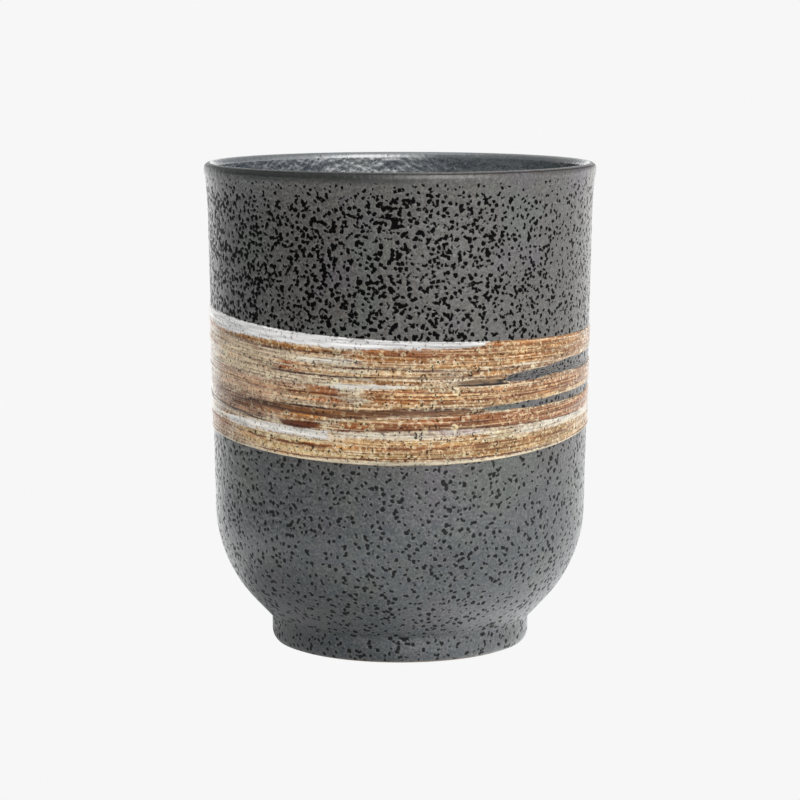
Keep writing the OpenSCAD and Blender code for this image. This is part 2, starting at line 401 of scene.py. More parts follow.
def beyondSpeck(bench, place, fewer=0.0):
    # less than 0 inside an iron speck: crowded above the band, few at the lip, smaller below
    x, _, z = bench.split(place)
    above = bench.smooth(z, *iron["topHeights"])
    atLip = bench.smooth(z, *iron["lipHeights"])
    rightSide = bench.smooth(x, *iron["rightSide"])
    wanted = bench.mixed(above, iron["lowReach"], iron["topReach"] - rightSide * iron["rightLess"])
    wanted = bench.mixed(atLip, wanted, iron["lipReach"])
    crowd = bench.noise(place, iron["crowdScale"], 2, 0.7) - 0.5
    frayed = bench.noise(place, iron["frayScale"], 1, 0.6) - 0.5
    cell = bench.node("ShaderNodeTexVoronoi", {"feature": "SMOOTH_F1"}, {
        "Vector": bentPlace(bench, place, iron["bendScale"], iron["bendReach"]),
        "Scale": bench.mixed(above, iron["lowScale"], iron["topScale"]), "Smoothness": iron["merge"]})
    frayed = frayed * (above * iron["topFray"] + iron["fray"])
    return cell - wanted - crowd * iron["crowding"] - frayed + fewer


def latheTree():
    # carries a closed profile round the axis, then lets the potter's hands and the specks show
    tree, bench, given = newShapeTree("thrownCoat", {
        "Profile": "Object", "Steps Around": "Int", "Path Radius": "Float", "Wobble Depth": "Float",
        "Ring Depth": "Float", "Pit Depth": "Float", "Corner Angle": "Float", "Material": "Material"})
    shape = carriedRound(bench, given)
    shape = bench.node("GeometryNodeMergeByDistance", sockets={"Geometry": shape, "Distance": 1e-6})
    place = bench.node("GeometryNodeInputPosition")
    facing = bench.node("GeometryNodeInputNormal")
    depth = throwingRelief(bench, place, given["Wobble Depth"], given["Ring Depth"])
    specks = bench.within(beyondSpeck(bench, place), iron["pitSoftness"])
    depth = depth + specks * given["Pit Depth"]
    shape = bench.node("GeometryNodeSetPosition", sockets={
        "Geometry": shape, "Offset": bench.scaled(facing, depth * named(bench, "shown") * -1)})
    closeShapeTree(bench, shape, given["Material"], given["Corner Angle"])
    return tree


def throwCoat(name, face, back, shown, material, columns, depths=(0, 0, 0)):
    # shown tells, point by point, how much of the relief the face takes. The back takes none.
    line, shown = face + back, shown + [0] * len(back)
    if sum(a[0] * b[1] - b[0] * a[1] for a, b in zip(line, line[1:] + line[:1])) > 0:
        # the line runs the other way round, which would leave the coat inside out
        line, shown = line[::-1], shown[::-1]
    radius = surface["pathRadius"]
    guide = closedGuide(name + "Profile", [((r - radius) * mm, -z * mm, 0) for r, z in line],
                        {"shown": shown})
    piece = runShapeTree(name, thrownCoat, {
        "Profile": guide, "Steps Around": columns, "Path Radius": radius * mm,
        "Wobble Depth": depths[0], "Ring Depth": depths[1], "Pit Depth": depths[2],
        "Corner Angle": math.radians(surface["cornerAngle"]), "Material": material})
    bpy.data.objects.remove(guide)
    return piece


def cleanLine(points):
    # drops points that repeat the one before
    kept = [points[0]]
    for point in points[1:]:
        if np.linalg.norm(point - kept[-1]) > 1e-4:
            kept.append(point)
    return kept


def nose(end, degrees, thickness):
    # the rounded edge where a coat was wiped off
    outward = ray(degrees)
    return arc(end - outward * thickness / 2, thickness / 2, degrees, degrees - 180,
               fineness["noseRow"])


def fadeIn(line, over, start):
    # 0 at the first point, rising to 1 a few millimetres along the line
    steps = [0] + [np.linalg.norm(b - a) for a, b in zip(line, line[1:])]
    return list(np.clip((np.cumsum(steps) - start) / over, 0, 1))


# The brushed band: where it lies on the wall, in millimetres and shares of its width
band = {
    "middle": 53.7, "width": 22.6,
    "topWaves": (-0.066, -0.102, -0.006, 0.0195),   # for cos a, sin a, cos 2a and sin 2a
    "lowWaves": (-0.08, 0.0195, -0.037, -0.0136),
    "rows": 200, "columns": 470, "cornerAngle": 80,
    "slipThickness": 0.2 * mm, "bead": 0.13 * mm, "ridges": 0.08 * mm, "ridgeCount": 46,
    "sunk": -0.3 * mm,          # the slip's underside, inside the glaze
    "bared": -0.16 * mm,        # where a dry slit leaves the glaze bare
    "edgeDrop": 0.1 * mm,       # how far the slip's own edges dip into the glaze
    "lowFeather": (0, 0.02), "topFeather": (1, 0.978), "beadRise": (0.004, 0.014),
    "beadFall": (0.034, 0.018), "ridgeTurn": 1.6, "tatterTurn": 9, "tatterAcross": 40,
    "slitGap": 0.012, "slitTatter": 0.03, "slitSides": (-0.002, 0.007),
}

# Both dry slits, as angles and shares of the band's width: their lower and their upper edges
slits = [
    {"low": [(31, 0.662), (34, 0.641), (37, 0.640), (41, 0.637), (45, 0.640), (50, 0.650), (55, 0.657),
             (61, 0.650), (69, 0.641), (100, 0.66), (130, 0.71), (156, 0.78)],
     "high": [(31, 0.662), (34, 0.704), (37, 0.717), (41, 0.728), (45, 0.732), (50, 0.744), (55, 0.762),
              (61, 0.776), (69, 0.777), (110, 0.80), (140, 0.81), (156, 0.78)]},
    {"low": [(24, 0.441), (27, 0.421), (30, 0.416), (34, 0.410), (42, 0.399), (50, 0.395), (56, 0.392),
             (62, 0.382), (70, 0.374), (100, 0.375), (135, 0.395), (150, 0.425)],
     "high": [(24, 0.441), (27, 0.454), (30, 0.458), (38, 0.461), (46, 0.460), (62, 0.457), (70, 0.456),
              (100, 0.455), (135, 0.45), (150, 0.425)]},
]


def bandEdges(angle, cosine, sine):
    # heights of the band's edges at an angle, for arrays and for wires alike
    waves = [cosine(angle), sine(angle), cosine(angle * 2), sine(angle * 2)]
    low, high = band["middle"] - band["width"] / 2, band["middle"] + band["width"] / 2
    for wave, lowShare, topShare in zip(waves, band["lowWaves"], band["topWaves"]):
        low = low + wave * (lowShare * band["width"])
        high = high + wave * (topShare * band["width"])
    return low, high


def onBand(bench, angle, share):
    # sine and cosine of the angle, the height and the wall's radius, in metres
    def cosine(value):
        return bench.maths("COSINE", value)

    def sine(value):
        return bench.maths("SINE", value)
    low, high = bandEdges(angle, cosine, sine)
    z = low + share * (high - low)
    radius = (z - cup["bellyHeight"]) * math.tan(math.radians(lean)) + cup["bellyRadius"]
    return sine(angle), cosine(angle), z * mm, radius * mm


def slitCut(bench, angle, share, tatter):
    # 1 where a dry slit leaves the glaze bare
    turn = angle * (1 / math.pi)
    cuts = []
    for slit in slits:
        low, high = [bench.node("ShaderNodeValToRGB", {"stops": [(a / 180, s) for a, s in slit[side]]},
                                {0: turn}) for side in ("low", "high")]
        opened = bench.smooth(high - low, 0, band["slitGap"])
        inside = bench.maths("MINIMUM", share - low, high - share)
        inside = inside + (tatter - 0.5) * band["slitTatter"] * opened
        cuts.append(bench.smooth(inside, *band["slitSides"]) * opened)
    return bench.most(*cuts)


def slipLift(bench, angle, share, given):
    # how far the slip's face stands above the true wall, and the place below it on that wall
    sine, cosine, z, radius = onBand(bench, angle, share)
    place = bench.joined(radius * sine, radius * cosine * -1, z)
    relief = throwingRelief(bench, place, given["Wobble Depth"], given["Ring Depth"])
    turn = band["ridgeTurn"]
    ridge = bench.noise(bench.joined(sine * turn, cosine * turn, share * given["Ridges Across"]), 1, 2, 0.6)
    turn = band["tatterTurn"]
    tatter = bench.noise(bench.joined(sine * turn, cosine * turn, share * band["tatterAcross"]), 1, 2, 0.6)
    edge = bench.smooth(share, *band["lowFeather"]) * bench.smooth(share, *band["topFeather"])
    bead = bench.smooth(share, *band["beadRise"]) * bench.smooth(share, *band["beadFall"])
    lift = edge * (given["Slip Thickness"] + (ridge - 0.5) * 2 * given["Ridge Depth"])
    lift = lift + bead * given["Bead Height"] - (1 - edge) * band["edgeDrop"]
    cut = slitCut(bench, angle, share, tatter)
    return bench.mixed(cut, lift, given["Bared Depth"]) - relief, cut, (sine, cosine, z, radius)


def raisedPlace(bench, spot, lift):
    sine, cosine, z, radius = spot
    return bench.joined((radius + lift) * sine, (radius + lift) * cosine * -1, z)


bandInputs = {"Slip Thickness": "Float", "Ridge Depth": "Float", "Ridges Across": "Float",
              "Bead Height": "Float", "Bared Depth": "Float", "Wobble Depth": "Float",
              "Ring Depth": "Float", "Material": "Material"}


def slipTree():
    # a closed ring of slip laid on the wall, thin at its edges and combed by the brush
    tree, bench, given = newShapeTree("brushedSlip", {
        "Profile": "Object", "Steps Around": "Int", "Path Radius": "Float", "Sunk Depth": "Float",
        **bandInputs})
    shape = carriedRound(bench, given)
    x, y, _ = bench.split(bench.node("GeometryNodeInputPosition"))
    angle = bench.maths("ARCTAN2", x, y * -1)
    lift, _, spot = slipLift(bench, angle, named(bench, "share"), given)
    lift = bench.mixed(named(bench, "raised"), given["Sunk Depth"], lift)
    shape = bench.node("GeometryNodeSetPosition", sockets={
        "Geometry": shape, "Position": raisedPlace(bench, spot, lift)})
    closeShapeTree(bench, shape, given["Material"], math.radians(band["cornerAngle"]))
    return tree


# A brush stroke: how it swells from its ends, how bluntly it starts, its section as shares of its
# thickness (the crown in the middle, its sides, and the underside in the slip), and how far apart
# the guide lines of two strokes lie
stroke = {"thickness": 0.1 * mm, "sunk": 0.015 * mm, "underSlit": 0.2 * mm, "step": 0.8, "points": 13,
          "endWidth": 0.35, "swell": 0.4, "bluntness": 12, "endHeight": 0.1,
          "crown": 1.3, "side": -0.3, "under": -1.2, "apart": 10}


def strokeTree():
    # brush strokes that follow the slip's face, each a closed ribbon with feathered edges
    tree, bench, given = newShapeTree("brushStrokes", {
        "Paths": "Object", "Section": "Object", "Stroke Thickness": "Float", **bandInputs})
    shape = bench.node("GeometryNodeCurveToMesh", sockets={
        "Curve": curveOf(bench, given["Paths"]), "Profile Curve": curveOf(bench, given["Section"]),
        "Fill Caps": True})
    share = named(bench, "pathShare") + named(bench, "across") * named(bench, "halfWidth")
    lift, cut, spot = slipLift(bench, named(bench, "pathAngle"), share, given)
    lift = lift + named(bench, "raised") * named(bench, "fullness") * given["Stroke Thickness"]
    lift = lift - stroke["sunk"] - cut * stroke["underSlit"]
    shape = bench.node("GeometryNodeSetPosition", sockets={
        "Geometry": shape, "Position": raisedPlace(bench, spot, lift)})
    closeShapeTree(bench, shape, given["Material"], math.radians(band["cornerAngle"]))
    return tree


def bandValues(material):
    return {"Slip Thickness": band["slipThickness"], "Ridge Depth": band["ridges"],
            "Ridges Across": band["ridgeCount"], "Bead Height": band["bead"],
            "Bared Depth": band["bared"], "Wobble Depth": surface["wobble"],
            "Ring Depth": surface["rings"], "Material": material}


def layStrokes(name, strokes, material):
    # one piece from a table of strokes: start and end in degrees, the middle's share at both, width
    points, edges = [], []
    fields = {"pathAngle": [], "pathShare": [], "halfWidth": [], "fullness": []}
    for row, (start, end, fromShare, toShare, width) in enumerate(strokes):
        steps = math.ceil((end - start) / stroke["step"])
        edges += [(len(points) + i, len(points) + i + 1) for i in range(steps)]
        for t in np.linspace(0, 1, steps + 1):
            swell = (1 - stroke["endWidth"]) * math.sin(math.pi * t) ** stroke["swell"]
            full = min(1, stroke["bluntness"] * t, stroke["bluntness"] * (1 - t))
            points.append((t * (end - start), row * stroke["apart"], 0))
            fields["pathAngle"].append(math.radians(start + t * (end - start)))
            fields["pathShare"].append(fromShare + t * (toShare - fromShare))
            fields["halfWidth"].append(width * (stroke["endWidth"] + swell) / 2)
            fields["fullness"].append(max(stroke["endHeight"], full))
    paths = guideObject(name + "Paths", points, edges, fields)
    across = np.linspace(1, -1, stroke["points"])
    raised = list(stroke["crown"] * np.sqrt(1 - across ** 2) + stroke["side"]) + [stroke["under"]] * 3
    across = list(across) + [-1, 0, 1]
    section = closedGuide(name + "Section", [(a, r, 0) for a, r in zip(across, raised)],
                          {"across": across, "raised": raised})
    piece = runShapeTree(name, strokesOnSlip, {
        "Paths": paths, "Section": section, "Stroke Thickness": stroke["thickness"],
        **bandValues(material)})
    for guide in (paths, section):
        bpy.data.objects.remove(guide)
    return piece


# Both sets of strokes, the last ones on the side away from the front
rustStrokes = [
    (-66, -16, 0.855, 0.872, 0.045), (-12, 72, 0.875, 0.925, 0.08), (-58, -44, 0.738, 0.75, 0.03),
    (-26, 66, 0.765, 0.84, 0.045), (-42, 24, 0.685, 0.72, 0.03), (-68, -16, 0.525, 0.54, 0.045),
    (-12, 76, 0.555, 0.555, 0.07), (-20, 80, 0.30, 0.335, 0.075), (-54, -42, 0.135, 0.14, 0.04),
    (-38, -20, 0.125, 0.125, 0.035), (-16, 62, 0.14, 0.125, 0.06), (-40, 30, 0.05, 0.05, 0.02),
    (84, 168, 0.915, 0.89, 0.06), (176, 286, 0.87, 0.86, 0.07), (170, 292, 0.72, 0.735, 0.04),
    (92, 190, 0.56, 0.55, 0.06), (198, 284, 0.54, 0.53, 0.05), (88, 210, 0.32, 0.30, 0.07),
    (100, 182, 0.14, 0.15, 0.05), (192, 300, 0.14, 0.13, 0.045)]
umberStrokes = [
    (-76, 22, 0.37, 0.43, 0.07), (-70, -42, 0.285, 0.295, 0.06), (-38, -24, 0.285, 0.283, 0.055),
    (160, 276, 0.43, 0.39, 0.06), (216, 282, 0.28, 0.285, 0.06)]


# Colours brushed on the band, one mark after another: the colour as it shows, how well it covers,
# how soft its edges are, how dry the brush was, and its course: degrees, lower and upper share
brushMarks = [
    # the white that shows along the top
    ("F3F3F3", .98, .012, .02, [(-90, .87, 1.03), (-61, .876, 1.03), (-50, .896, 1.03), (-37, .893, 1.03),
        (-24, .9, 1.03), (-9, .911, 1.03), (0, .924, 1.03), (17, .935, 1.03), (24, .962, 1.03),
        (29, .99, 1.03)]),
    # rust under it, then thin dark lines
    ("A9743A", .88, .014, .25, [(-72, .845, .88), (-60, .838, .872), (-50, .842, .892), (-30, .842, .897),
        (-14, .86, .908)]),
    ("5E3206", .9, .007, .1, [(-64, .838, .853), (-50, .83, .847), (-41, .832, .847), (-30, .842, .858),
        (-24, .85, .868), (-15, .868, .886)]),
    ("B5713C", .92, .014, .15, [(-17, .86, .905), (0, .872, .924), (17, .872, .935), (27, .88, .965),
        (34, .885, .985)]),
    ("C58C50", .9, .02, .25, [(-17, .79, .865), (0, .8, .875), (17, .79, .875), (27, .79, .885),
        (36, .8, .99), (50, .81, 1.02), (74, .8, 1.03)]),
    ("7A440E", .8, .006, .15, [(-10, .858, .87), (0, .862, .873), (17, .865, .877)]),
    ("9C6230", .75, .006, .2, [(-10, .888, .898), (12, .9, .91), (30, .935, .945), (60, .95, .96)]),
    ("A36A38", .7, .006, .2, [(20, .835, .847), (36, .865, .877), (70, .885, .897)]),
    ("E9C48C", .6, .008, .2, [(18, .848, .862), (36, .88, .892), (70, .9, .912)]),
    ("8A5A30", .8, .005, .05, [(24, .988, 1.03), (34, .988, 1.03), (76, .988, 1.03)]),
    # a pale stretch on the left, golden on the right
    ("EADBC4", .8, .016, .25, [(-64, .755, .83), (-45, .755, .825), (-30, .76, .835), (-14, .775, .84)]),
    ("F0EEE6", .8, .012, .2, [(-34, .775, .8), (-24, .775, .815), (-16, .785, .825), (-8, .8, .82)]),
    ("DCAE70", .75, .016, .25, [(-10, .715, .755), (0, .715, .755), (20, .715, .748)]),
    ("5E3C10", .85, .006, .1, [(-60, .728, .742), (-50, .738, .752), (-43, .735, .75)]),
    ("A45E26", .92, .008, .08, [(-38.5, .734, .757), (-31, .74, .76), (-29.5, .745, .757)]),
    ("70420E", .85, .006, .15, [(-30, .733, .746), (-20, .746, .76), (-9, .757, .77), (12, .755, .769),
        (21, .742, .755), (34, .76, .77), (55, .788, .8), (72, .81, .82)]),
    ("F1E6CC", .88, .009, .15, [(9, .725, .752), (12, .722, .76), (20, .724, .752), (23, .73, .75)]),
    ("F1E6CC", .88, .009, .15, [(22, .765, .79), (26, .758, .79), (30, .755, .78)]),
    ("F4EAD8", .88, .008, .1, [(36, .755, .79), (40, .765, .8), (45, .78, .8)]),
    ("5C3004", .92, .006, .06, [(-43, .666, .68), (-34, .672, .688), (-27, .673, .688), (-21, .676, .691),
        (-12, .685, .7), (-3, .694, .708), (9, .702, .717), (17, .699, .713), (28, .692, .705),
        (33, .7, .712)]),
    ("C5764A", .85, .01, .15, [(-40, .69, .725), (-34, .69, .722), (-27, .69, .71)]),
    ("C0703C", .85, .008, .12, [(-31, .64, .668), (-25, .64, .665)]),
    ("EADBC2", .8, .014, .25, [(-60, .59, .66), (-38, .6, .665), (-25, .6, .665), (-12, .6, .68)]),
    ("F2F1EC", .9, .009, .1, [(-22, .6, .635), (-16, .593, .634), (-8, .6, .642), (0, .615, .642),
        (4, .62, .64)]),
    ("F0DFB6", .85, .008, .2, [(0, .615, .64), (9, .619, .643), (15, .622, .64)]),
    ("BF8A50", .85, .012, .2, [(-10, .648, .692), (4, .65, .698), (16, .65, .695)]),
    ("CFA066", .8, .01, .25, [(14, .715, .735), (30, .71, .75), (40, .735, .765)]),
    ("C79A74", .75, .012, .25, [(34, .72, .76), (45, .738, .785), (60, .78, .83), (76, .79, .84)]),
    # the slit's shallow start, with a dark edge under it that is a painted shadow, and two dark spots
    ("A08870", .98, .006, 0, [(15.5, .65, .658), (19, .643, .68), (24, .642, .684), (30, .642, .672),
        (34, .66, .69)]),
    # painted shadow under the slit's shallow start
    ("2B2018", .98, .005, 0, [(14.5, .638, .65), (21, .629, .644), (27, .628, .645), (35, .628, .645)]),
    ("120C08", .98, .008, 0, [(23.5, .635, .66), (27.5, .635, .66)]),
    ("120C08", .98, .008, 0, [(27.5, .635, .676), (33, .635, .676)]),
    # pink brown and a red line, left of the middle
    ("C2A08C", .8, .016, .2, [(-78, .54, .6), (-50, .535, .585), (-30, .55, .6), (-26, .56, .6)]),
    ("682E0C", .9, .007, .08, [(-78, .515, .53), (-55, .508, .523), (-41, .509, .524), (-34, .523, .538),
        (-27, .533, .548), (-21, .532, .548), (-16, .53, .545)]),
    ("B5744C", .88, .01, .12, [(-29, .548, .6), (-22, .545, .6), (-18, .545, .585), (-15, .545, .565)]),
    ("E6CDAE", .75, .016, .25, [(-74, .44, .5), (-50, .44, .505), (-34, .45, .52), (-14, .46, .485)]),
    ("C67A4A", .88, .009, .12, [(-28, .475, .5), (-21, .478, .51), (-15, .482, .515)]),
    ("EEE4CC", .85, .008, .1, [(-15.5, .49, .585), (-13, .48, .585), (-11, .5, .57)]),
    ("C88E56", .9, .016, .2, [(-12, .49, .6), (5, .49, .61), (30, .5, .63), (50, .51, .63), (80, .5, .64)]),
    ("CDA384", .65, .03, .2, [(20, .49, .61), (40, .49, .63), (55, .5, .64), (82, .5, .65)]),
    ("864A16", .85, .006, .15, [(-11, .585, .597), (12, .58, .592), (30, .56, .572), (55, .569, .581),
        (76, .58, .59)]),
    ("8E5626", .8, .006, .15, [(-10, .545, .557), (12, .551, .562), (45, .542, .553), (72, .545, .555)]),
    ("865020", .8, .006, .15, [(-12, .52, .532), (12, .524, .536), (24, .51, .521), (46, .52, .531),
        (62, .514, .525)]),
    ("F0D2A2", .75, .007, .2, [(-8, .563, .575), (20, .56, .572), (50, .555, .567), (76, .56, .57)]),
    ("EDCFA4", .7, .007, .2, [(10, .598, .612), (30, .6, .614), (55, .62, .632), (74, .62, .635)]),
    ("E6C290", .85, .01, .2, [(-14, .455, .485), (0, .465, .495), (15, .468, .5), (24, .458, .5),
        (38, .466, .5), (60, .462, .495), (78, .46, .49)]),
    # cream over the upper left, a pink cast below it, and a painted sheen: a pale veil where the slip turns
    # away on the left
    ("EAD7B8", .55, .04, .2, [(-84, .6, .84), (-56, .6, .84), (-44, .62, .84)]),
    ("CBA088", .45, .04, .1, [(-86, .26, .6), (-60, .27, .6), (-48, .29, .58), (-34, .32, .57)]),
    ("B58E7C", .3, .03, .1, [(-90, .05, .15), (-62, .05, .15), (-40, .06, .14)]),
    # painted sheen on the left side of the band
    ("E9E6E1", .6, .04, .3, [(-112, 0, 1), (-66, 0, 1)]),
    # the long umber stroke
    ("A88C7E", .8, .016, .2, [(-82, .33, .44), (-60, .34, .44), (-50, .36, .44), (-40, .38, .45)]),
    ("7E573C", .94, .011, .12, [(-62, .33, .375), (-56, .318, .379), (-50, .315, .395), (-46, .335, .41),
        (-38, .351, .422), (-30, .36, .434), (-18, .359, .433), (-6, .376, .436), (-2, .4, .455),
        (6, .408, .462), (12, .411, .463), (24, .41, .446), (29, .43, .45)]),
    ("4C2E20", .85, .006, .12, [(-56, .366, .379), (-50, .385, .397), (-38, .409, .422), (-30, .42, .434),
        (-20, .42, .433)]),
    ("55331F", .8, .006, .15, [(-30, .36, .372), (-18, .36, .372), (-6, .376, .387)]),
    ("5A3A28", .85, .006, .1, [(-8, .425, .437), (0, .448, .46), (12, .452, .463), (22, .44, .45)]),
    ("9A7458", .7, .008, .15, [(-1, .412, .445), (12, .415, .45), (23, .415, .44)]),
    # below it: the left stroke, the short one, and the long rust one
    ("B08C78", .8, .012, .2, [(-76, .29, .33), (-60, .285, .315), (-50, .27, .32), (-42, .275, .355)]),
    ("C08C58", .85, .012, .2, [(-39, .305, .355), (-30, .31, .36), (-22, .325, .355)]),
    ("3E2820", .94, .006, .04, [(-80, .29, .303), (-66, .275, .289), (-59, .27, .284), (-53, .265, .279),
        (-48, .25, .264), (-44, .25, .264), (-41.5, .262, .275)]),
    ("EFE4D2", .92, .007, .03, [(-42, .256, .315), (-40, .25, .345), (-38, .255, .3)]),
    ("74462A", .97, .007, 0, [(-38.5, .262, .292), (-34, .256, .3), (-30, .258, .308), (-27, .257, .312),
        (-23, .275, .312)]),
    ("562C14", .88, .005, .04, [(-38, .256, .266), (-34, .25, .261), (-27, .252, .263), (-24, .268, .279)]),
    ("EDE2C8", .9, .007, .04, [(-24, .268, .335), (-22, .262, .35), (-20.5, .262, .33)]),
    ("B87640", .92, .013, .18, [(-20, .262, .328), (-15, .266, .346), (-6, .276, .361), (0, .29, .395),
        (12, .291, .4), (24, .289, .405), (38, .273, .39), (56, .25, .38), (80, .228, .365)]),
    ("8A5028", .75, .009, .2, [(-20, .268, .296), (0, .292, .32), (14, .294, .325), (30, .285, .31)]),
    ("C79474", .6, .02, .2, [(30, .29, .38), (50, .27, .37), (80, .24, .35)]),
    ("86501E", .75, .006, .15, [(14, .345, .356), (34, .335, .346), (60, .31, .32), (78, .295, .305)]),
    ("EBCB96", .85, .009, .15, [(-20, .318, .334), (-14, .335, .352), (-4, .355, .37), (4, .36, .372)]),
    ("E6D090", .9, .01, .08, [(6, .318, .335), (8, .312, .345), (11, .318, .34)]),
    ("5E2E0A", .92, .006, .06, [(-20, .256, .27), (-6, .27, .284), (0, .283, .297), (12, .284, .298),
        (24, .282, .295), (38, .267, .28), (56, .245, .257), (72, .224, .236)]),
    # the lower white, creamy to the right
    ("F2F1EE", .93, .01, .1, [(-64, .155, .215), (-51, .166, .238), (-42, .172, .248), (-34, .18, .248),
        (-27, .176, .25), (-20, .178, .256)]),
    ("EFE9DA", .9, .01, .15, [(-21, .205, .25), (-12, .216, .262), (0, .222, .283), (12, .235, .286),
        (24, .234, .283), (31, .19, .268), (46, .19, .264), (56, .181, .245), (72, .171, .236),
        (86, .165, .23)]),
    ("DFCFA0", .7, .01, .15, [(26, .185, .245), (31, .18, .25), (37, .19, .25)]),
    ("F6F0F0", .85, .008, .15, [(8, .25, .286), (16, .25, .284), (25, .25, .277)]),
    ("FBF6EA", .85, .008, .1, [(44, .225, .26), (60, .205, .242), (80, .19, .225)]),
    # golden strokes along the bottom
    ("D3A970", .8, .024, .3, [(-60, .045, .14), (-40, .045, .145), (-20, .045, .17), (0, .045, .205),
        (20, .05, .21), (34, .05, .175), (60, .05, .165), (84, .05, .155)]),
    ("E8D8AE", .65, .01, .2, [(-58, .135, .16), (-40, .135, .165), (-22, .15, .175)]),
    ("F0DCAA", .65, .008, .25, [(-50, .065, .09), (-30, .06, .085), (0, .082, .1), (40, .07, .085),
        (76, .07, .09)]),
    ("EBD2A0", .7, .007, .2, [(-14, .18, .196), (10, .185, .2), (28, .165, .178), (60, .142, .155)]),
    ("7A3E10", .9, .008, .08, [(-52, .12, .14), (-47, .106, .125), (-42, .118, .134), (-34, .114, .13),
        (-31, .124, .138), (-24, .118, .138), (-17, .138, .155)]),
    ("B36E36", .88, .009, .18, [(-16, .128, .155), (0, .132, .162), (12, .128, .158), (31, .138, .158),
        (46, .118, .138), (70, .105, .12)]),
    ("A5672F", .75, .006, .2, [(-30, .085, .095), (0, .105, .116), (22, .098, .11), (50, .085, .095)]),
    ("744010", .88, .006, .08, [(-46, .026, .038), (-30, .03, .042), (-12, .048, .06), (0, .058, .071),
        (12, .05, .062), (21, .042, .053), (31, .036, .046), (52, .028, .038)]),
    # the side away from the front
    ("B77A3C", .85, .02, .35, [(72, .86, .99), (110, .86, .96), (140, .855, .94), (174, .86, .92)]),
    ("ECE9E2", .9, .015, .2, [(96, .955, 1.03), (150, .93, 1.03), (200, .92, 1.03), (276, .9, 1.03)]),
    ("A9662E", .85, .015, .3, [(172, .83, .9), (220, .84, .91), (262, .83, .9), (292, .85, .89)]),
    ("9A5A2A", .75, .008, .25, [(168, .71, .73), (220, .715, .735), (294, .73, .745)]),
    ("C9965A", .6, .02, .35, [(160, .73, .8), (230, .74, .82), (290, .75, .8)]),
    ("B87A46", .85, .018, .35, [(78, .51, .64), (120, .52, .61), (194, .52, .6)]),
    ("8E5436", .8, .01, .25, [(196, .515, .55), (240, .51, .545), (288, .52, .54)]),
    ("77553F", .9, .015, .25, [(156, .41, .45), (210, .37, .43), (278, .365, .41)]),
    ("B37238", .85, .018, .3, [(80, .27, .36), (130, .28, .36), (212, .26, .34)]),
    ("6A4834", .8, .01, .15, [(214, .26, .31), (250, .255, .305), (284, .26, .3)]),
    ("E9E5DC", .8, .015, .25, [(84, .16, .24), (150, .17, .23), (220, .16, .22), (298, .165, .225)]),
    ("C08A50", .75, .02, .35, [(84, .05, .15), (150, .06, .16), (220, .05, .15), (300, .05, .16)]),
    ("A8643A", .8, .01, .25, [(98, .12, .16), (184, .13, .17)]),
    ("A8643A", .8, .01, .25, [(190, .12, .15), (302, .11, .15)]),
    # the raised edge all round, where the slip gathered, and under it a dark line that is a painted shadow
    # of that edge
    ("F6EAD2", .96, .006, 0, [(-180, .004, .02), (-40, .004, .018), (0, .012, .038), (30, .006, .024),
        (180, .004, .02)]),
    # painted shadow under the raised edge
    ("4A2E18", .85, .004, 0, [(-180, -.05, .004), (-30, -.05, .004), (-10, -.05, .01), (14, -.05, .008),
        (40, -.05, .004), (180, -.05, .004)]),
]

# The ground under the marks, its streaks as cells round and across the band, how marks end, and a painted
# shade on the right side
brushGround = {
    "light": "E2D4BE", "mid": "D2B490", "dark": "B08452", "midFrom": (0.35, 0.62), "darkFrom": (0.62, 0.85),
    "broadShare": 0.55, "fineShare": 0.45, "streakDepth": 0.4, "ragged": 1.4, "raggedFine": 0.8,
    "grids": ((26, 34), (60, 95), (180, 60), (520, 110), (9, 7)), "margin": 0.1, "seed": 11,
    "endFade": 2.5, "dryFade": 10, "dryGaps": 1.6, "gapsFrom": (0.5, 0.85), "dryEnough": 6,
    # where the painted shade on the right side is deepest, where it starts and how dark it gets, then the
    # contrast
    "shadedSide": 55, "shadedFrom": (-0.3, 0.9), "paintedShade": 0.24, "contrast": 1.2,
    "combLines": 22, "combDrift": 2.4, "combDepth": 0.22, "combFrom": (0.2, 0.8),
    "glazeShare": 0.965, "glazeLight": 0.025, "darkest": 0.006,
}


def streaks(angle, share, around, across, seed):
    # soft random streaks along the brush's way, without a seam at the back
    grid = np.random.default_rng(seed).random((around, across + 2))
    u = (angle % 360) / 360 * around
    margin = brushGround["margin"]
    v = np.clip((share + margin) / (1 + 2 * margin), 0, 1) * across
    i, j = np.floor(u).astype(int), np.floor(v).astype(int)
    fu, fv = u - i, v - j
    fu, fv = fu * fu * (3 - 2 * fu), fv * fv * (3 - 2 * fv)
    i, after = i % around, (i + 1) % around
    low = grid[i, j] * (1 - fu) + grid[after, j] * fu
    high = grid[i, j + 1] * (1 - fu) + grid[after, j + 1] * fu
    return low * (1 - fv) + high * fv


def eased(value, low, high):
    t = np.clip((value - low) / (high - low), 0, 1)
    return t * t * (3 - 2 * t)


def pigment(code):
    # the glaze over the slip adds a little light of its own
    under = np.array(fromHex(code)) * brushGround["glazeShare"] - brushGround["glazeLight"]
    return np.maximum(under, brushGround["darkest"])


def blended(paint, code, share):
    return paint + (pigment(code) - paint) * share[:, None]


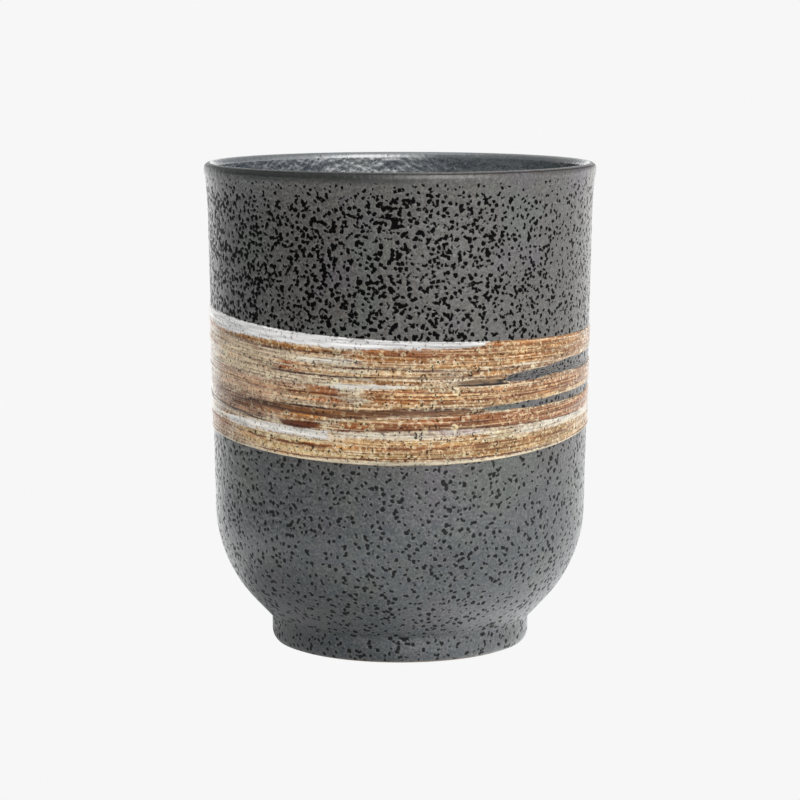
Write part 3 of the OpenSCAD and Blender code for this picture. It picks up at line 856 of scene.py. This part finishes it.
def bandColours(angle, share):
    # angles in degrees and shares of the band's width, to colours; the fourth number is 1 where a
    # mark lies wet and smooth, without grain
    grids = [streaks(angle, share, *grid, brushGround["seed"] + i)
             for i, grid in enumerate(brushGround["grids"])]
    broad, fine, frayed, jitter, drift = grids
    ground = brushGround["broadShare"] * broad + brushGround["fineShare"] * fine
    paint = np.tile(pigment(brushGround["light"]), (len(share), 1))
    paint = blended(paint, brushGround["mid"], eased(ground, *brushGround["midFrom"]))
    paint = blended(paint, brushGround["dark"], eased(ground, *brushGround["darkFrom"]))
    rough = (fine - 0.5) * brushGround["raggedFine"] + (jitter - 0.5) * brushGround["ragged"]
    gaps = brushGround["dryGaps"] * eased(fine, *brushGround["gapsFrom"])
    calm = np.zeros(len(share))
    for code, cover, feather, dry, course in brushMarks:
        degrees, low, high = np.array(course).T
        turned = angle - 360 * np.round((angle - (degrees[0] + degrees[-1]) / 2) / 360)
        lowEdge = np.interp(turned, degrees, low) + rough * feather
        highEdge = np.interp(turned, degrees, high) + rough * feather
        mask = eased(share - lowEdge, -feather / 2, feather / 2)
        mask *= eased(highEdge - share, -feather / 2, feather / 2)
        if degrees[-1] - degrees[0] < 360:
            fade = brushGround["endFade"] + brushGround["dryFade"] * dry
            mask *= eased(turned - degrees[0] + (frayed - 0.5) * fade, 0, fade)
            mask *= eased(degrees[-1] - turned + (frayed - 0.5) * fade, 0, fade)
        mask = np.clip(mask * cover * (1 - dry * gaps), 0, 1)
        paint = blended(paint, code, mask)
        calm = calm + (max(0, 1 - dry * brushGround["dryEnough"]) - calm) * mask
    shade = 1 + brushGround["streakDepth"] * (0.6 * (fine - 0.5) + 0.4 * (broad - 0.5)) * 2
    # painted shade: the band's colours darker on the right side, round 55 degrees from the front
    towardShade = np.cos(np.radians(angle - brushGround["shadedSide"]))
    shade *= 1 - brushGround["paintedShade"] * eased(towardShade, *brushGround["shadedFrom"])
    comb = np.sin(2 * math.pi * (share * brushGround["combLines"] + drift * brushGround["combDrift"]))
    comb *= eased(broad, *brushGround["combFrom"]) * (1 - calm)
    shade *= 1 + brushGround["combDepth"] * comb
    paint = np.clip(paint * shade[:, None], 0, 1) ** brushGround["contrast"]
    return np.column_stack([paint, calm])


def paintPiece(piece):
    # writes each point's colour and its share of the band's width
    mesh = piece.data
    places = np.empty(len(mesh.vertices) * 3, "f")
    mesh.vertices.foreach_get("co", places)
    x, y, z = places.reshape(-1, 3).T.astype(float) / mm
    angle = np.arctan2(x, -y)
    low, high = bandEdges(angle, np.cos, np.sin)
    share = (z - low) / (high - low)
    values = bandColours(np.degrees(angle), share).astype("f")
    mesh.color_attributes.new("pigment", "FLOAT_COLOR", "POINT").data.foreach_set("color", values.ravel())
    written = mesh.attributes.new("bandShare", "FLOAT", "POINT")
    written.data.foreach_set("value", share.astype("f"))


# What both glazes share: where their tones change, in metres, and how their grain and patches lie
glazed = {
    "warmHeights": (0.022, 0.052), "warmSides": (-0.034, -0.008), "speckHeights": (0.05, 0.06),
    "patches": (("plum", 0.52), ("moss", 0.50)), "patchScale": 85, "patchFull": 0.68,
    "patchShare": 0.7, "grainScale": 2100, "lightFrom": (0.45, 0.68), "lightShare": 0.6,
    "darkFrom": (0.47, 0.33), "darkShare": 0.4, "grainDark": "262626", "fleckWidth": 0.03,
    "fleckShare": 0.8, "lipLine": 93.66 * mm, "lineSides": (0.16 * mm, 0.05 * mm),
    # the painted shade on the left of the outer lip: where it fades, its tone, and how strongly it darkens
    "lipHeights": (0.0916, 0.0926), "lipShadeSides": (0.012, -0.010), "lipShadeTone": "1C2422",
    "lipShadeShare": 0.8, "lipShadeDark": 0.3, "bump": 0.7, "bumpDepth": 0.12 * mm, "pitGloss": 0.035,
}
# The dark coat outside: satin, cooler below the band, broken by matt black iron specks
outerLook = {"cool": "2C363D", "warm": "37312C", "plum": "403944", "moss": "39433A", "speck": "050505",
             "roughness": 0.35, "roughnessVaries": 0.16, "fleckLimit": 0.68, "grainDepth": 0.45,
             "peelScale": 800, "peelDepth": 1.9, "lipLine": 0.6, "grainLight": "6E6C68",
             "lowSpecks": 0.86, "fewerSpecks": 0, "bareLip": 1, "ior": 1.5, "rimShare": 0.17,
             "rimTone": "6A6B69"}
# The coat inside, glossier and more blue
linerLook = {"cool": "3C464E", "warm": "3C464E", "plum": "454B4D", "moss": "505856", "speck": "101011",
             "roughness": 0.22, "roughnessVaries": 0.08, "fleckLimit": 0.76, "grainDepth": 0.1,
             "peelScale": 700, "peelDepth": 1.7, "lipLine": 0, "grainLight": "5E666A",
             "lowSpecks": 0.9, "fewerSpecks": 0.23, "bareLip": 0, "ior": 2.05, "rimShare": 0.15,
             "rimTone": "6E777B"}


def glazeMaterial(name, look):
    material, bench = newMaterial(name)
    place = bench.node("ShaderNodeTexCoord", out="Object")
    x, _, z = bench.split(place)
    warmth = bench.smooth(z, *glazed["warmHeights"])
    warmth = warmth * (bench.smooth(x, *glazed["warmSides"]) * 0.5 + 0.5)
    tone = bench.stained(warmth, colour(look["cool"]), look["warm"])
    for side, (code, start) in enumerate(glazed["patches"]):
        shifted = bench.node("ShaderNodeVectorMath", {"operation": "ADD"}, {0: place, 1: (side, 0, 0)})
        patch = bench.noise(shifted, glazed["patchScale"], 2, 0.6)
        patch = bench.smooth(patch, start, glazed["patchFull"])
        tone = bench.stained(patch * glazed["patchShare"], tone, look[code])
    grain = bench.noise(place, glazed["grainScale"], 2, 0.6)
    peel = bench.noise(place, look["peelScale"], 1)
    lighter = bench.smooth(grain, *glazed["lightFrom"]) * glazed["lightShare"]
    darker = bench.smooth(grain, *glazed["darkFrom"]) * glazed["darkShare"]
    tone = bench.stained(lighter, tone, look["grainLight"])
    tone = bench.stained(darker, tone, glazed["grainDark"])
    beyond = beyondSpeck(bench, place, look["fewerSpecks"])
    tone = bench.stained(bench.smooth(beyond, *iron["rim"]) * look["rimShare"], tone, look["rimTone"])
    specks = bench.within(beyond, iron["softness"])
    specks = specks * bench.mixed(bench.smooth(z, *glazed["speckHeights"]), look["lowSpecks"], 1)
    fleck = bench.smooth(grain, look["fleckLimit"], look["fleckLimit"] + glazed["fleckWidth"])
    fromLine = bench.maths("ABSOLUTE", z - glazed["lipLine"])
    line = bench.smooth(fromLine, *glazed["lineSides"]) * look["lipLine"]
    # the lip is bare of specks, and darker and more matt on the left, as a painted shade
    lip = bench.smooth(z, *glazed["lipHeights"]) * look["bareLip"]
    # painted shade: the lip's left side darkened, where no highlight falls
    lipShade = lip * bench.smooth(x, *glazed["lipShadeSides"])
    tone = bench.stained(lipShade * glazed["lipShadeShare"], tone, glazed["lipShadeTone"])
    dark = bench.most(bench.most(specks, fleck * glazed["fleckShare"]) * (1 - lip), line)
    dark = bench.most(dark, lipShade * glazed["lipShadeDark"])
    bump = bench.bumped(glazed["bump"], glazed["bumpDepth"],
                        grain * look["grainDepth"] + peel * look["peelDepth"] - dark)
    roughness = (grain - 0.5) * look["roughnessVaries"] + look["roughness"]
    glaze = bench.finished(tone, roughness, 1.0, bump, look["ior"])
    bench.pitted(glaze, dark, look["speck"], glazed["pitGloss"], bump)
    return material


# What the slip and both oxides share: each noise's scale, and from where to where a mark shows
combed = {
    "paintedGreens": (0.72, 0.46), "paintedLeast": 0.1, "brightGreens": (0.02, 0.16),
    "hairTurn": 32, "hairAcross": 30, "hairSides": (0.07, 0.015), "hairPatches": 160,
    "hairFrom": (0.36, 0.53), "broadTurn": 45, "broadAcross": 75, "broadDark": (0.52, 0.68),
    "broadDarkShare": 0.5, "broadPale": (0.46, 0.32), "broadPaleShare": 0.55,
    "grainScale": 1350, "grainStretch": (1, 1, 1.2), "grainDark": (0.47, 0.36), "grainPale": (0.53, 0.64),
    "speckScale": 1000, "speckBend": (1500, 0.9), "speckReach": 0.26, "speckLeast": 0.005,
    "speckSoftness": 0.05, "rightSide": (0.012, 0.028), "rightFewer": 0.1, "frayScale": 2600,
    "fray": 0.5, "haloFrom": (0.40, 0.14), "haloChosen": (0.6, 0.7),
    "bubbleScale": 260, "bubbleBend": (900, 0.5), "bubbleReach": 0.2, "bubbleSides": (0.085, 0.03),
    "bubbleChosen": (0.70, 0.76), "bubbleShare": 0.8,
    "dustScale": 1900, "dustFrom": (0.65, 0.69), "darkLeast": 0.55, "darkPainted": 0.45,
    "eatenFrom": (0.98, 0.995), "bumpDepth": 0.1 * mm, "roughnessVaries": 0.2, "gloss": 0.36,
    "pit": "20150D", "pitGloss": 0.06, "pitShare": 0.86,
}
# What the brush left: fine streaks, small iron specks, and pale rings where they bled
slipLook = {"dark": "74451A", "pale": "F6E7C8", "halo": "E6DAB6", "haloShare": 0.5,
            "grooveShare": 0.6, "grainDark": 0.5, "grainPale": 0.5, "roughness": 0.34, "bump": 1.1}
rustLook = {"dark": "5A300E", "pale": "EFD3A4", "halo": "E6D4A8", "haloShare": 0.5,
            "grooveShare": 0.6, "grainDark": 0.55, "grainPale": 0.55, "roughness": 0.35, "bump": 1.2}
umberLook = {"dark": "261610", "pale": "C29A72", "halo": "C4AE86", "haloShare": 0.45,
             "grooveShare": 0.5, "grainDark": 0.5, "grainPale": 0.4, "roughness": 0.37, "bump": 1.2}


def bandMaterial(name, look):
    material, bench = newMaterial(name)
    place = bench.node("ShaderNodeTexCoord", out="Object")
    x, y, _ = bench.split(place)
    tone = bench.node("ShaderNodeAttribute", {"attribute_name": "pigment"}, out="Color")
    share = bench.node("ShaderNodeAttribute", {"attribute_name": "bandShare"}, out="Fac")
    rough = 1 - tone.beside("Alpha")
    green = bench.split(tone)[1]
    least = combed["paintedLeast"]
    painted = (bench.smooth(green, *combed["paintedGreens"]) * (1 - least) + least) * rough
    bright = painted * bench.smooth(green, *combed["brightGreens"])
    # the brush hairs' own lines: dark and thin where a slow noise passes its middle
    turn = combed["hairTurn"]
    streak = bench.noise(bench.joined(x * turn, y * turn, share * combed["hairAcross"]), 1, 1)
    groove = bench.smooth(bench.maths("ABSOLUTE", streak - 0.5), *combed["hairSides"])
    groove = groove * bench.smooth(bench.noise(place, combed["hairPatches"], 1), *combed["hairFrom"])
    tone = bench.stained(groove * painted * look["grooveShare"], tone, look["dark"])
    turn = combed["broadTurn"]
    broad = bench.noise(bench.joined(x * turn, y * turn, share * combed["broadAcross"]), 1, 2, 0.6)
    darker = bench.smooth(broad, *combed["broadDark"]) * painted * combed["broadDarkShare"]
    paler = bench.smooth(broad, *combed["broadPale"]) * painted * combed["broadPaleShare"]
    tone = bench.stained(paler, bench.stained(darker, tone, look["dark"]), look["pale"])
    # the slip's own grain, then two sizes of iron specks, the bigger ones in a pale ring
    grain = bench.noise(bench.stretched(place, combed["grainStretch"]), combed["grainScale"], 2, 0.7)
    darker = bench.smooth(grain, *combed["grainDark"]) * bright * look["grainDark"]
    paler = bench.smooth(grain, *combed["grainPale"]) * bright * look["grainPale"]
    tone = bench.stained(paler, bench.stained(darker, tone, look["dark"]), look["pale"])
    cell = bench.node("ShaderNodeTexVoronoi", sockets={
        "Vector": bentPlace(bench, place, *combed["speckBend"]), "Scale": combed["speckScale"]})
    random, chosen, _ = bench.split(cell.beside("Color"))
    beyond = cell - (random * combed["speckReach"] + combed["speckLeast"])
    beyond = beyond + bench.smooth(x, *combed["rightSide"]) * combed["rightFewer"]
    frayed = (bench.noise(place, combed["frayScale"], 1) - 0.5) * combed["fray"]
    core = bench.within(beyond + frayed, combed["speckSoftness"])
    halo = bench.smooth(beyond, *combed["haloFrom"]) * bench.smooth(chosen, *combed["haloChosen"])
    halo = halo * rough * look["haloShare"]
    cell = bench.node("ShaderNodeTexVoronoi", sockets={
        "Vector": bentPlace(bench, place, *combed["bubbleBend"]), "Scale": combed["bubbleScale"]})
    random, chosen, _ = bench.split(cell.beside("Color"))
    fromRing = bench.maths("ABSOLUTE", cell - random * combed["bubbleReach"])
    bubble = bench.smooth(fromRing, *combed["bubbleSides"]) * bench.smooth(chosen, *combed["bubbleChosen"])
    halo = bench.most(halo, bubble * painted * combed["bubbleShare"])
    tone = bench.stained(halo, tone, look["halo"])
    dust = bench.smooth(bench.noise(place, combed["dustScale"], 1), *combed["dustFrom"])
    dark = bench.most(core, dust) * (painted * combed["darkPainted"] + combed["darkLeast"])
    # the wall's specks eat into the upper edge
    eaten = bench.within(beyondSpeck(bench, place), iron["softness"])
    dark = bench.most(dark, eaten * bench.smooth(share, *combed["eatenFrom"]))
    bump = bench.bumped(look["bump"], combed["bumpDepth"], broad + grain * 0.5 - groove * 0.8 - dark * 0.8)
    roughness = (broad - 0.5) * combed["roughnessVaries"] + look["roughness"]
    brushed = bench.finished(tone, roughness, combed["gloss"], bump)
    bench.pitted(brushed, dark * combed["pitShare"], combed["pit"], combed["pitGloss"], bump)
    return material


# Bare fired clay under the foot: buff grey, with turning lines and iron freckles
clayLook = {"light": "A39383", "dark": "7F6F60", "freckle": "3A2C22", "roughness": 0.88, "gloss": 0.3,
            "lineSpacing": 0.35 * mm, "lineWander": 30, "lineShare": 0.6, "grainScale": 1600,
            "freckleScale": 1300, "freckleFrom": (0.68, 0.74), "bump": 0.7, "bumpDepth": 0.1 * mm}


def clayMaterial(name, look):
    material, bench = newMaterial(name)
    place = bench.node("ShaderNodeTexCoord", out="Object")
    x, y, z = bench.split(place)
    radius = bench.maths("SQRT", x * x + y * y)
    spacing = look["lineSpacing"]
    turned = bench.joined(radius / spacing, z / spacing, x * look["lineWander"])
    lines = bench.noise(turned, 1, 2, 0.6)
    grain = bench.noise(place, look["grainScale"], 3, 0.65)
    paler = lines * look["lineShare"] + grain * (1 - look["lineShare"])
    tone = bench.stained(paler, colour(look["dark"]), look["light"])
    freckle = bench.smooth(bench.noise(place, look["freckleScale"], 1), *look["freckleFrom"])
    tone = bench.stained(freckle, tone, look["freckle"])
    bump = bench.bumped(look["bump"], look["bumpDepth"], lines + grain * 0.6)
    bench.shown(bench.finished(tone, look["roughness"], look["gloss"], bump))
    return material


outerGlaze = glazeMaterial("speckledSatinGlaze", outerLook)
innerGlaze = glazeMaterial("glossyLinerGlaze", linerLook)
firedClay = clayMaterial("bareFiredClay", clayLook)
whiteSlip = bandMaterial("brushedWhiteSlip", slipLook)
rustOxide = bandMaterial("rustBrownOxide", rustLook)
umberOxide = bandMaterial("umberOxide", umberLook)
print("materials mixed")


def keep(piece, nodes):
    # the finished piece rides on the cup's one body and stands for its solid
    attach(piece, "root")
    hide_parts(*nodes)


thrownCoat = latheTree()
strokesOnSlip = strokeTree()
coat = cup["coat"]
fullDepths = (surface["wobble"], surface["rings"], surface["pits"])

# the outer coat above the split: its face, then its back against the clay
face = cleanLine(upperLine(0, fineness["wallRow"]))
back = cleanLine(upperLine(coat, fineness["hiddenRow"]))[::-1]
wallGlaze = throwCoat("wallGlaze", face, back, fadeIn(face, *surface["lipFade"]), outerGlaze,
                      fineness["outerColumns"], fullDepths)
keep(wallGlaze, ["outer_glaze"])

# the outer coat over the shoulder and the foot, with a rounded edge where it was wiped
face, wiped = lowerLine(0, fineness["shoulderRow"], cup["pooledRadius"])
edge = nose(face[-1], wiped, coat)[1:]
face = cleanLine(face)
back = cleanLine(lowerLine(coat, fineness["hiddenRow"], 0)[0])[::-1]
shown = fadeIn(face[::-1], *surface["wipedFade"])[::-1]
shoulderGlaze = throwCoat("shoulderGlaze", face, edge + back[1:], shown, outerGlaze,
                          fineness["outerColumns"], fullDepths)
keep(shoulderGlaze, ["outer_glaze"])

# the coat on the drinking side, from the crest of the lip to the middle of the floor
face = cleanLine(innerLine(0, fineness["linerRow"]))
back = cleanLine(innerLine(coat, fineness["hiddenRow"]))[::-1]
linerGlaze = throwCoat("linerGlaze", face, back, fadeIn(face, *surface["lipFade"]), innerGlaze,
                       fineness["linerColumns"], fullDepths)
keep(linerGlaze, ["liner_glaze"])

# the coat in the well under the cup, pooled in its corner
side, ceiling, fillet = cup["wellRadius"] - coat, cup["footHeight"] - coat, cup["wellFillet"]
face = straight([side, cup["footInner"]], [side, ceiling - fillet], fineness["wellRow"])
face += arc(np.array([side - fillet, ceiling - fillet]), fillet, 0, 90, fineness["bendRow"])
face = cleanLine(face + straight(face[-1], [0, ceiling], fineness["wellRow"]))
corners = [(0, cup["footHeight"]), (cup["wellRadius"], cup["footHeight"]),
           (cup["wellRadius"], cup["footInner"])]
wellGlaze = throwCoat("footWellGlaze", face, [np.array(corner) for corner in corners],
                      fadeIn(face, *surface["wipedFade"]), outerGlaze, fineness["wellColumns"], fullDepths)
keep(wellGlaze, ["foot_well_glaze"])

# the clay foot ring, bare at its contact face
side, rounding = cup["footRadius"] - coat, cup["footEdge"]
face = straight([side, cup["footHeight"]], [side, rounding], fineness["footRow"])
face += arc(np.array([side - rounding, rounding]), rounding, 0, -90, fineness["bendRow"])
innerEdge = cup["wellRadius"] + cup["footInner"]
face += straight(face[-1], [innerEdge, 0], fineness["bendRow"])
face += arc(np.array([innerEdge, cup["footInner"]]), cup["footInner"], 270, 180, fineness["edgeRow"])
face += straight(face[-1], [cup["wellRadius"], cup["footHeight"]], fineness["footRow"])
face = cleanLine(face)
footRing = throwCoat("footRing", face, [], [0] * len(face), firedClay, fineness["footColumns"])
keep(footRing, ["foot_ring"])

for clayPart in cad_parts["stoneware_body"].material_slots:
    clayPart.material = firedClay
print("coats thrown")

# the slip: a ring with its face divided finely, and three points for its underside
shares = list(np.linspace(1, 0, band["rows"] + 1)) + [0, 0.5, 1]
raised = [1] * (band["rows"] + 1) + [0, 0, 0]
ring = closedGuide("slipProfile", [(r * mm, -s * band["width"] * mm, 0) for s, r in zip(shares, raised)],
                   {"share": shares, "raised": raised})
slip = runShapeTree("brushedSlip", slipTree(), {
    "Profile": ring, "Steps Around": band["columns"], "Path Radius": cup["bellyRadius"] * mm,
    "Sunk Depth": band["sunk"], **bandValues(whiteSlip)})
bpy.data.objects.remove(ring)
rust = layStrokes("rustStrokes", rustStrokes, rustOxide)
umber = layStrokes("umberStrokes", umberStrokes, umberOxide)
for piece, node, slot in ((slip, "slip_band", "white_slip"), (rust, "rust_strokes", "rust_oxide"),
                          (umber, "umber_strokes", "umber_oxide")):
    paintPiece(piece)
    keep(piece, [node])
print("band brushed")

# The camera stands where the photographer's did
view = {"place": (0, -0.5936, 0.1262), "tilt": 82.44, "lens": 137.75}
camera = bpy.data.objects.new("camera", bpy.data.cameras.new("camera"))
camera.location = view["place"]
camera.rotation_euler = (math.radians(view["tilt"]), 0, 0)
camera.data.lens = view["lens"]
camera.data.clip_end = 500
bpy.context.scene.collection.objects.link(camera)
bpy.context.scene.camera = camera

# A pale studio: light by direction, as shares of white. Level is what stands round the cup at its
# own height, by degrees from the front, to the right. The pairs called From tell how steeply the
# view points up where the next light starts to show, and where it is full.
studio = {
    "backdrop": 0.93, "floorRadius": 150,
    "level": [(-180, 2.7), (-163, 2.6), (-149, 2.1), (-137, 0.78), (-122, 0.31), (-105, 0.2), (-78, 0.12),
              (-57, 0.14), (-37, 0.21), (-18, 0.38), (0, 0.7), (19, 1.1), (45, 1.6), (78, 1.4),
              (104, 1.15), (125, 1.15), (139, 1.5), (151, 1.95), (180, 2.3)],
    "upper": [(-180, 0.8), (-140, 0.5), (-115, 0.33), (-25, 0.35), (-8, 1.4), (14, 3.4), (38, 3.3),
              (60, 1.1), (120, 0.5), (150, 0.5), (180, 0.8)],
    "below": [(-180, 1.6), (-120, 1.3), (-60, 0.88), (40, 0.88), (100, 1.3), (180, 1.7)],
    "overhead": 1.0, "brightest": 4.0,
    "belowFrom": (-0.12, -0.32), "upperFrom": (0.03, 0.22), "overheadFrom": (0.82, 0.97),
    # the cup's own shadow beside its foot, on the left
    "shadow": 0.42, "shadowPlace": (-0.027, -0.015, -0.02 * mm), "shadowRadius": 0.042,
}


def ringLight(bench, turn, ring):
    stops = [(angle / 360 + 0.5, value / studio["brightest"]) for angle, value in studio[ring]]
    return bench.node("ShaderNodeValToRGB", {"stops": stops}, {0: turn})


def lightRoom():
    world = bpy.data.worlds.new("studio")
    bpy.context.scene.world = world
    world.use_nodes = True
    world.node_tree.nodes.clear()
    bench = Bench(world.node_tree)
    x, y, z = bench.split(bench.node("ShaderNodeTexCoord", out="Generated"))
    turn = bench.maths("ARCTAN2", x, y * -1) * (0.5 / math.pi) + 0.5
    level, upper, below = [ringLight(bench, turn, ring) for ring in ("level", "upper", "below")]
    light = bench.mixed(bench.smooth(z, *studio["belowFrom"]), level, below)
    light = bench.mixed(bench.smooth(z, *studio["upperFrom"]), light, upper) * studio["brightest"]
    light = bench.mixed(bench.smooth(z, *studio["overheadFrom"]), light, studio["overhead"])
    light = bench.node("ShaderNodeBackground", sockets={"Color": (1, 1, 1, 1), "Strength": light})
    bench.node("ShaderNodeOutputWorld", sockets={"Surface": light})


def flatPiece(name, points, material):
    # one flat face of the studio
    mesh = bpy.data.meshes.new(name)
    mesh.from_pydata(points, [], [tuple(range(len(points)))])
    mesh.materials.append(material)
    flat = bpy.data.objects.new(name, mesh)
    bpy.context.scene.collection.objects.link(flat)
    return flat


def layFloor():
    # a floor that only the camera sees, because the room's light comes from the world
    material, bench = newMaterial("paleBackdrop")
    bench.glowing(studio["backdrop"])
    reach = studio["floorRadius"]
    corners = [(-reach, -reach, 0), (reach, -reach, 0), (reach, reach, 0), (-reach, reach, 0)]
    floor = flatPiece("floor", corners, material)
    floor.visible_diffuse = floor.visible_glossy = floor.visible_shadow = False


def layShadow():
    # a soft dark patch on the floor that shows only in the glaze, because light falls from the right
    material, bench = newMaterial("softShadow")
    x, y, _ = bench.split(bench.node("ShaderNodeTexCoord", out="Object"))
    edge = bench.smooth(x * x + y * y, 0.25, 1)
    bench.glowing(edge * (1 - studio["shadow"]) + studio["shadow"])
    shadow = flatPiece("shadow", [(*ray(a), 0) for a in range(0, 360, 10)], material)
    shadow.location = studio["shadowPlace"]
    shadow.scale = (studio["shadowRadius"], studio["shadowRadius"], 1)
    shadow.visible_camera = shadow.visible_shadow = False


lightRoom()
layFloor()
layShadow()
bpy.context.scene.view_settings.view_transform = "Standard"
print("studio lit")
